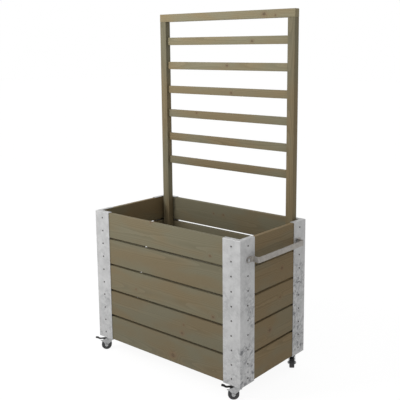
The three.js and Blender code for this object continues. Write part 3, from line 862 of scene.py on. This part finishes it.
def add_steel_corner(name, quarter):
    """One corner, drawn at the front left and turned to its own place."""
    node = f"corner_{name}"
    low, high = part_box(node)
    width = high.x - low.x
    outer_x = low.x if name.endswith("left") else high.x
    outer_y = low.y if name.startswith("front") else high.y
    outer = Vector((outer_x, outer_y, 0))
    angle = quarter * math.pi / 2

    def place(bm):
        turn(bm, angle, "Z")
        move(bm, outer)
        return bm

    sheet = place(corner_sheet(width, low.z + BASE_PLATE_THICKNESS, high.z))
    steel = finish_piece(sheet, f"{node}_sheet", BOX_BODY, GALVANISED, [node])
    ease_edges(steel, SHEET_EDGE, 2)
    finish_piece(place(base_plate(width, low.z)), f"{node}_base_plate", BOX_BODY, GALVANISED)
    has_bolt = name.endswith("right")
    end_heights = [z for i, z in enumerate(screw_heights()) if not (has_bolt and i == HANDLE_SCREW)]
    first_is_end = quarter % 2 == 1
    for flange in range(2):
        on_end = (flange == 0) == first_is_end
        heights = end_heights if on_end else screw_heights()
        column = screw_column(heights, FIRST_SCREW_SEED + 2 * quarter + flange)
        if flange == 1:
            bmesh.ops.scale(column, verts=column.verts, vec=(-1, 1, 1))
            turn(column, -math.pi / 2, "Z")
            point_outwards(column)
        kind = "end" if on_end else "side"
        finish_piece(place(column), f"{node}_{kind}_screws", BOX_BODY, SCREW_STEEL)


# ---------------------------------------------------------------- pull handle

BAR_THICKNESS = 4 * MM
BAR_HEIGHT = 25 * MM
BAR_BEND_RADIUS = 7 * MM
TAB_LENGTH = 32 * MM  # from the outside of a leg
BOLT_FROM_LEG = 22 * MM
BOLT_RADIUS = 6.5 * MM
BOLT_DOME = 3.2 * MM
BAR_EDGE = 0.7 * MM
STEEL_CLEARANCE = 0.3 * MM
BEND_STEPS = 8
ROUND_END_STEPS = 10
TIP_HALF_HEIGHT = 0.4 * MM  # so that the strip's very end keeps an edge


def round_end(tip, inward, radius):
    """Places from the tip of a strip's round end to its full height: (place, half height)."""
    places = []
    for i in range(ROUND_END_STEPS + 1):
        angle = 0.5 * math.pi * i / ROUND_END_STEPS
        half = max(radius * math.sin(angle), TIP_HALF_HEIGHT)
        places.append((tip + inward * (radius * (1 - math.cos(angle))), half))
    return places


def strip_stations(corners, radius, end_radius):
    """Places along a bent strip with round ends, seen from above: (place, half height)."""
    bends = []
    for before, at, after in zip(corners, corners[1:], corners[2:]):
        coming = (at - before).normalized()
        leaving = (after - at).normalized()
        turned = coming.angle_signed(leaving)
        setback = radius * math.tan(abs(turned) / 2)
        start = at - coming * setback
        side = Vector((-coming.y, coming.x)) * (-math.copysign(1, turned))
        centre = start + side * radius
        for i in range(BEND_STEPS + 1):
            spin = Matrix.Rotation(-turned * i / BEND_STEPS, 2)
            bends.append(centre + spin @ (start - centre))
    first = (corners[1] - corners[0]).normalized()
    last = (corners[-1] - corners[-2]).normalized()
    along = [(point, end_radius) for point in bends]
    far_end = round_end(corners[-1], -last, end_radius)
    return round_end(corners[0], first, end_radius) + along + far_end[::-1]


def handle_bar():
    """The flat bar: two round-ended tabs, two legs and the grip."""
    low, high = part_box("pull_handle")
    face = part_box("corner_front_right")[1].x
    tab_x = face + STEEL_CLEARANCE + BAR_THICKNESS / 2
    grip_x = high.x - BAR_THICKNESS / 2
    leg_y = high.y - TAB_LENGTH - BAR_THICKNESS / 2
    corners = [
        Vector((tab_x, low.y)),
        Vector((tab_x, -leg_y)),
        Vector((grip_x, -leg_y)),
        Vector((grip_x, leg_y)),
        Vector((tab_x, leg_y)),
        Vector((tab_x, high.y)),
    ]
    middle = (low.z + high.z) / 2
    rows = []
    for point, half in strip_stations(corners, BAR_BEND_RADIUS, BAR_HEIGHT / 2):
        rows.append([Vector((point.x, point.y, middle + sign * half)) for sign in (-1, 1)])
    bm = thicken(sheet_through(rows), BAR_THICKNESS)
    return bm, (tab_x, leg_y, middle)


def coach_bolt(radius, height):
    """A domed bolt head on a flat washer, its seat at Z = 0."""
    washer, washer_height = radius * 1.35, 1.4 * MM
    rim = washer_height + 0.4 * MM
    dome = [(x, rim + z * height / radius) for x, z in arc((0, 0), radius, 0, 90, 6)]
    profile = [(0, 0), (washer, 0), (washer, washer_height), (radius, washer_height)] + dome
    return lathe(profile, 32)


def add_handle():
    """The bar, moved out to its place in the model, and its two bolts."""
    bm, (tab_x, leg_y, middle) = handle_bar()
    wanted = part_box("pull_handle")[1].x
    move(bm, (wanted - max(v.co.x for v in bm.verts), 0, 0))
    bar = finish_piece(bm, "pull_handle_bar", BOX_BODY, GALVANISED_BAR, ["pull_handle"])
    ease_edges(bar, BAR_EDGE, 3)
    for side, sign in (("front", -1), ("back", 1)):
        bolt = coach_bolt(BOLT_RADIUS, BOLT_DOME)
        turn(bolt, math.pi / 2, "Y")
        move(bolt, (tab_x + BAR_THICKNESS / 2, sign * (leg_y + BAR_THICKNESS / 2 + BOLT_FROM_LEG), middle))
        finish_piece(bolt, f"pull_handle_bolt_{side}", BOX_BODY, HANDLE_BOLT_ZINC)


# ---------------------------------------------------------------- castors
# Drawn with the swivel axis at X = 0 and the wheel trailing towards -X.

CASTOR_HEIGHT = 74 * MM
TRAIL = 23 * MM
WHEEL_RADIUS = 25 * MM
WHEEL_WIDTH = 24 * MM
PLATE_SIDE = 60 * MM
PLATE_THICKNESS = 2.5 * MM
PLATE_CORNER_RADIUS = 6 * MM
PLATE_BOLT_REACH = 22.5 * MM  # from the swivel axis, both ways
RACE_RADIUS = 23 * MM
RACE_BOTTOM = 64.5 * MM
CROWN_RADIUS = 22 * MM
CROWN_TOP = 64.2 * MM
CROWN_BOTTOM = 58.2 * MM
KING_PIN_RADIUS = 5 * MM
FORK_SHEET = 2.5 * MM
LEG_INSIDE = 13.25 * MM
AXLE_RADIUS = 4 * MM
PEDAL_PIN_X = -17 * MM
PEDAL_PIN_Z = 54.2 * MM
BORE_CLEARANCE = 0.3 * MM
WHEEL_RIB_COUNT = 5


def castor_top_plate():
    """The square top plate with the upper race under it."""
    half = PLATE_SIDE / 2
    top = CASTOR_HEIGHT
    bm = block((-half, -half, top - PLATE_THICKNESS), (half, half, top))
    round_off(bm, [e for e in bm.edges if runs_along(e, 2)], PLATE_CORNER_RADIUS, 6)
    round_off(bm, sharp_edges(bm), 0.5 * MM)
    race_top = top - PLATE_THICKNESS + 0.3 * MM
    race = lathe(
        [
            (0, race_top),
            (RACE_RADIUS + 1.5 * MM, race_top),
            (RACE_RADIUS, race_top - 1.6 * MM),
            (RACE_RADIUS, RACE_BOTTOM + 1.6 * MM),
            (RACE_RADIUS - 0.6 * MM, RACE_BOTTOM + 0.5 * MM),
            (RACE_RADIUS - 2 * MM, RACE_BOTTOM),
            (0, RACE_BOTTOM),
        ],
        48,
    )
    return add_to(bm, race)


def hexagon_head(radius, height, seat=0.0):
    """A hexagon head with a rounded rim, its seat at the given height and its top up."""
    bm = bmesh.new()
    bmesh.ops.create_cone(bm, cap_ends=True, segments=6, radius1=radius, radius2=radius, depth=height)
    move(bm, (0, 0, height / 2))
    rim = [e for e in bm.edges if all(v.co.z > height * 0.9 for v in e.verts)]
    round_off(bm, rim, 0.8 * MM)
    move(bm, (0, 0, seat))
    return bm


def plate_bolts():
    """Four hexagon bolts with washers under the top plate."""
    bolts = bmesh.new()
    seat = CASTOR_HEIGHT - PLATE_THICKNESS
    washer_radius, washer_height = 6.6 * MM, 1.1 * MM
    for x in (-1, 1):
        for y in (-1, 1):
            bolt = disc(washer_radius, 0, washer_height, 24)
            add_to(bolt, hexagon_head(5.2 * MM, 2.9 * MM, washer_height))
            turn(bolt, math.pi, "X")
            move(bolt, (x * PLATE_BOLT_REACH, y * PLATE_BOLT_REACH, seat))
            add_to(bolts, bolt)
    return bolts


def king_pin_rivet():
    """The king pin's end, riveted over under the crown."""
    top = CROWN_BOTTOM - 0.3 * MM
    return lathe(
        [(0, top), (9 * MM, top), (9 * MM, top - 2.6 * MM), (7 * MM, top - 4 * MM), (0, top - 4 * MM)], 32
    )


def leg_outline():
    """A fork leg from the side: an ear under the pedal, drawn in to a round boss at the axle."""
    top = CROWN_BOTTOM + FORK_SHEET
    front = 14 * MM
    ear_tip = (-TRAIL - 27.5 * MM, 2 * WHEEL_RADIUS - 0.8 * MM)
    behind = [(-TRAIL + 1 * MM, top), (-30 * MM, 56.2 * MM), (-42 * MM, 53 * MM)]
    boss_radius = 8.5 * MM
    outline = [(front, top)] + behind
    outline += arc(ear_tip, 2 * MM, 80, 250, 6)
    outline += [(-43 * MM, 45.6 * MM), (-37.5 * MM, 41 * MM), (-31.5 * MM, 33 * MM)]
    outline += arc((-TRAIL, WHEEL_RADIUS), boss_radius, 155, 385, 14)
    outline += [(-9.5 * MM, 33.5 * MM), (-0.5 * MM, 42 * MM), (6 * MM, 49.5 * MM)]
    outline += arc((front - 4 * MM, CROWN_BOTTOM - 4 * MM), 4 * MM, -45, 0, 3)
    return outline


def castor_fork():
    """Pressed fork: a round crown under the race, with two legs."""
    bore = KING_PIN_RADIUS + BORE_CLEARANCE
    crown = lathe(
        [
            (bore, CROWN_BOTTOM),
            (CROWN_RADIUS - 1 * MM, CROWN_BOTTOM),
            (CROWN_RADIUS, CROWN_BOTTOM + 1 * MM),
            (CROWN_RADIUS, CROWN_TOP - 2.2 * MM),
            (CROWN_RADIUS - 0.8 * MM, CROWN_TOP - 0.7 * MM),
            (CROWN_RADIUS - 2.5 * MM, CROWN_TOP),
            (bore, CROWN_TOP),
            (bore, CROWN_BOTTOM),
        ],
        48,
    )
    for side in (-1, 1):
        leg = plate(leg_outline(), FORK_SHEET, 0.5 * MM)
        move(leg, (0, side * (LEG_INSIDE + FORK_SHEET / 2), 0))
        add_to(crown, leg)
    return crown


def to_axle(bm):
    """Turns a shape made about Z so that it lies about the axle."""
    turn(bm, -math.pi / 2, "X")
    move(bm, (-TRAIL, 0, WHEEL_RADIUS))
    return bm


def wheel_tyre():
    """Grey tyre with a crowned tread, round shoulders and a lip that holds the centre."""
    half = WHEEL_WIDTH / 2
    inner = 15.2 * MM
    upper = [(WHEEL_RADIUS, 3 * MM), (WHEEL_RADIUS - 0.25 * MM, 6.5 * MM)]
    upper += arc((WHEEL_RADIUS - 4.2 * MM, half - 4 * MM), 4 * MM, 12, 90, 6)
    upper += [(inner + 0.8 * MM, half), (inner, half - 0.8 * MM), (inner, half - 5 * MM)]
    ring = both_halves(upper)
    return to_axle(lathe(ring + ring[:1], 72))


def wheel_centre():
    """Moulded centre with a rim, a web and a bushed hub, the same on both sides."""
    half = WHEEL_WIDTH / 2
    bore = AXLE_RADIUS + BORE_CLEARANCE
    upper = [
        (15.1 * MM, half - 1 * MM),
        (14.0 * MM, half - 1 * MM),
        (13.2 * MM, half - 4.3 * MM),
        (8.6 * MM, half - 5.0 * MM),
        (8.0 * MM, half - 4.4 * MM),
        (7.6 * MM, half + 0.6 * MM),
        (7.0 * MM, half + 0.95 * MM),
        (bore, half + 0.95 * MM),
    ]
    ring = both_halves(upper)
    centre = lathe(ring + ring[:1], 60)
    for i in range(WHEEL_RIB_COUNT):
        for side in (-1, 1):
            rib = block((7.8 * MM, -0.8 * MM, 0), (14.2 * MM, 0.8 * MM, 3.2 * MM))
            round_off(rib, sharp_edges(rib), 0.3 * MM, 1)
            move(rib, (0, 0, half - 5.1 * MM))
            if side < 0:
                turn(rib, math.pi, "X")
            turn(rib, 2 * math.pi * i / WHEEL_RIB_COUNT, "Z")
            add_to(centre, rib)
    return to_axle(centre)


def axle_bolt():
    """Axle bolt: shank, hexagon head, and a nut with the thread's end showing."""
    seat = LEG_INSIDE + FORK_SHEET + 0.3 * MM
    bolt = disc(AXLE_RADIUS, -seat, seat, 24)
    for side in (-1, 1):
        head = hexagon_head(7.2 * MM, 3.6 * MM)
        middle = 2.4 * MM if side < 0 else 4.2 * MM
        rim = middle - 0.4 * MM
        profile = [(0, 3 * MM), (middle, 3 * MM), (middle, 4.3 * MM), (rim, 4.5 * MM), (0, 4.5 * MM)]
        add_to(head, lathe(profile, 20))
        move(head, (0, 0, seat))
        if side < 0:
            turn(head, math.pi, "X")
        add_to(bolt, head)
    return to_axle(bolt)


# The pedal from its nose to its tip: x, top and bottom height, half width (mm).
PEDAL_STATIONS = (
    (-11.2, 56.2, 53.6, 10.8),
    (-12.6, 57.2, 52.0, 11.5),
    (-17.0, 57.4, 51.7, 11.5),
    (-21.0, 57.4, 52.4, 11.3),
    (-26.0, 57.4, 54.2, 10.0),
    (-33.0, 57.8, 54.8, 8.8),
    (-41.0, 57.8, 54.9, 8.5),
    (-52.0, 56.7, 54.0, 8.5),
    (-57.5, 57.7, 54.7, 8.8),
    (-61.0, 60.3, 57.0, 9.4),
    (-65.7, 63.0, 59.8, 9.8),
    (-69.5, 64.1, 61.0, 9.8),
    (-74.0, 64.9, 61.9, 9.6),
    (-76.2, 64.4, 62.2, 9.0),
    (-76.9, 63.3, 62.5, 8.0),
)
TREAD_SLOPE = ((-61.0, 60.5), (-64.0, 63.5), (-74.0, 65.0))  # foot, bend and head of the tread (mm)
GRIP_COUNT = 4
GRIP_HALF_WIDTH = 8 * MM
SHOE_LOW = (-33 * MM, -GRIP_HALF_WIDTH, 51 * MM)  # the brake shoe's two far corners
SHOE_HIGH = (-25 * MM, GRIP_HALF_WIDTH, 55.2 * MM)


def along_tread(share):
    """The place and the slope on the tread's curve, from its foot (0) to its head (1)."""
    foot, bend, head = (Vector((x, 0, z)) * MM for x, z in TREAD_SLOPE)
    first, second = foot.lerp(bend, share), bend.lerp(head, share)
    slope = second - first
    return first.lerp(second, share), math.atan2(slope.z, -slope.x)


def pedal_section(x, top, bottom, half):
    """The pedal's outline across at one station, with its long edges cut off."""
    corner = min(1.0, (top - bottom) / 3)
    outline = [
        (-half, bottom + corner),
        (-half + corner, bottom),
        (half - corner, bottom),
        (half, bottom + corner),
        (half, top - corner),
        (half - corner, top),
        (-half + corner, top),
        (-half, top - corner),
    ]
    return [Vector((x, y, z)) * MM for y, z in outline]


def brake_pedal():
    """Moulded lever: flat over the tyre, dipping, then rising to a ribbed tread."""
    bm = bmesh.new()
    rings = []
    for station in PEDAL_STATIONS:
        verts = [bm.verts.new(co) for co in pedal_section(*station)]
        rings.append([bm.edges.new((verts[i - 1], verts[i])) for i in range(len(verts))])
    for ring, next_ring in zip(rings, rings[1:]):
        bmesh.ops.bridge_loops(bm, edges=ring + next_ring)
    for end in (rings[0], rings[-1]):
        bmesh.ops.contextual_create(bm, geom=end)
    point_outwards(bm)
    for i in range(GRIP_COUNT):
        place, slope = along_tread((i + 0.5) / GRIP_COUNT)
        grip = block((-0.7 * MM, -GRIP_HALF_WIDTH, -0.9 * MM), (0.7 * MM, GRIP_HALF_WIDTH, 0.8 * MM))
        round_off(grip, sharp_edges(grip), 0.25 * MM, 1)
        turn(grip, slope, "Y")
        move(grip, place)
        add_to(bm, grip)
    shoe = block(SHOE_LOW, SHOE_HIGH)
    round_off(shoe, sharp_edges(shoe), 0.5 * MM, 1)
    return add_to(bm, shoe)


def pedal_pin():
    """The pin that the pedal tips on, from leg to leg."""
    reach = LEG_INSIDE + FORK_SHEET
    radius, chamfer = 2.5 * MM, 0.3 * MM
    upper = [(radius, reach - chamfer), (radius - chamfer, reach), (0, reach)]
    pin = lathe(both_halves(upper), 20)
    turn(pin, -math.pi / 2, "X")
    move(pin, (PEDAL_PIN_X, 0, PEDAL_PIN_Z))
    return pin


def add_castor(name):
    """One castor, placed and turned as its swivel and axle joints say."""
    joints = {joint["name"]: Vector(joint["pos_m"]) for joint in frame["joints"] if "pos_m" in joint}
    swivel = joints[f"{name}_swivel"]
    trail = joints[f"{name}_roll"] - swivel
    heading = math.atan2(-trail.y, -trail.x)

    def add(bm, piece, body, look, stands_for=(), turned=True):
        if turned:
            turn(bm, heading, "Z")
        move(bm, (swivel.x, swivel.y, 0))
        finish_piece(bm, piece, body, look, stands_for)

    castor, wheel, pedal = f"{name}_castor", f"{name}_wheel", f"{name}_pedal"
    add(castor_top_plate(), f"{castor}_top_plate", BOX_BODY, ZINC_PLATE, [f"{castor}_plate"], turned=False)
    add(plate_bolts(), f"{castor}_plate_bolts", BOX_BODY, ZINC_PLATE, turned=False)
    add(king_pin_rivet(), f"{castor}_king_pin", BOX_BODY, ZINC_PLATE)
    add(castor_fork(), f"{castor}_pressed_fork", castor, ZINC_PLATE, [f"{castor}_fork"])
    add(axle_bolt(), f"{castor}_axle_bolt", castor, ZINC_PLATE, [f"{castor}_axle"])
    add(wheel_tyre(), f"{wheel}_tyre", wheel, TYRE_RUBBER, [f"{castor}_wheel"])
    add(wheel_centre(), f"{wheel}_centre", wheel, HUB_PLASTIC)
    add(brake_pedal(), f"{pedal}_lever", pedal, BLACK_NYLON, [f"{name}_brake_pedal"])
    add(pedal_pin(), f"{pedal}_pin", pedal, ZINC_PLATE)


# ---------------------------------------------------------------- studio

FLOOR_REACH = 30  # from the middle to each side (m)
FLOOR_GLOW = 1.08  # strength of the floor's white, for the eye and for reflections
FLOOR_GLOW_SHARE = 0.86  # the rest is lit by the studio, and so keeps the planter's shadow


def add_floor():
    """A wide pale floor that the camera sees as white, with the planter's faint shadow."""
    bm = bmesh.new()
    bmesh.ops.create_grid(bm, x_segments=1, y_segments=1, size=FLOOR_REACH)
    mesh = take_mesh(bm, "studio_floor")
    floor = add_object("studio_floor", mesh)

    material, tree, shader = new_material("Pale studio floor")
    set_shader(tree, shader, Base_Color=(0.8, 0.8, 0.8, 1.0), Roughness=0.9)
    glow = add_node(tree, "Emission", {"Color": (1, 1, 1, 1), "Strength": FLOOR_GLOW})
    rays = add_node(tree, "LightPath").outputs
    seen = calculate(tree, "MAXIMUM", rays["Is Camera Ray"], rays["Is Glossy Ray"])
    share = multiply(tree, seen, FLOOR_GLOW_SHARE)
    lit = add_node(tree, "MixShader", {0: share, 1: shader.outputs[0], 2: glow.outputs[0]})
    clear = add_node(tree, "BsdfTransparent")
    below = add_node(tree, "NewGeometry").outputs["Backfacing"]
    mixed = add_node(tree, "MixShader", {0: below, 1: lit.outputs[0], 2: clear.outputs[0]})
    tree.links.new(mixed.outputs[0], tree.nodes["Material Output"].inputs["Surface"])
    mesh.materials.append(material)


def set_world():
    """A white backdrop for the eye and for reflections, and a softer light for the surfaces."""
    world = bpy.data.worlds.new("studio")
    world.use_nodes = True
    tree = world.node_tree
    background = tree.nodes["Background"]
    rays = add_node(tree, "LightPath").outputs
    seen = calculate(tree, "MAXIMUM", rays["Is Camera Ray"], rays["Is Transmission Ray"])
    seen = calculate(tree, "MAXIMUM", seen, rays["Is Glossy Ray"])
    up = split_vector(tree, object_position(tree))["Z"]
    soft = remap(tree, up, -0.3, 1.0, 0.28, 0.72)
    strength = calculate(tree, "MAXIMUM", soft, seen)
    tree.links.new(strength, background.inputs["Strength"])
    background.inputs["Color"].default_value = (1, 1, 1, 1)
    bpy.context.scene.world = world


def add_key_light():
    """A broad soft lamp from the front left."""
    place = Vector((-1.5, -2.3, 2.4))
    aim = Vector((0, 0, 1.1))
    light = bpy.data.lights.new("key_light", "AREA")
    light.shape = "RECTANGLE"
    light.size = 1.2
    light.size_y = 1.2
    light.energy = 52
    lamp = add_object("key_light", light)
    lamp.location = place
    lamp.rotation_euler = (aim - place).to_track_quat("-Z", "Y").to_euler()


def add_camera():
    """The photograph's view: from the front right, a little above the trellis's middle."""
    image_side = 400
    focal_pixels = 675.8
    centre_x, centre_y = 240.0, 168.0
    yaw, pitch = 0.66775, 0.16804
    data = bpy.data.cameras.new("camera")
    data.sensor_width = 36
    data.lens = data.sensor_width * focal_pixels / image_side
    data.shift_x = (image_side / 2 - centre_x) / image_side
    data.shift_y = (centre_y - image_side / 2) / image_side
    data.clip_end = 100
    camera = add_object("camera", data)
    camera.location = (2.0989, -2.3362, 1.4747)
    camera.rotation_euler = (math.pi / 2 - pitch, 0, yaw)
    bpy.context.scene.camera = camera


add_camera()
add_timber()
for quarter, corner in enumerate(CORNERS):
    add_steel_corner(corner, quarter)
add_handle()
for corner in CORNERS:
    add_castor(corner)
add_floor()
set_world()
add_key_light()

bpy.context.scene.view_settings.view_transform = "Standard"
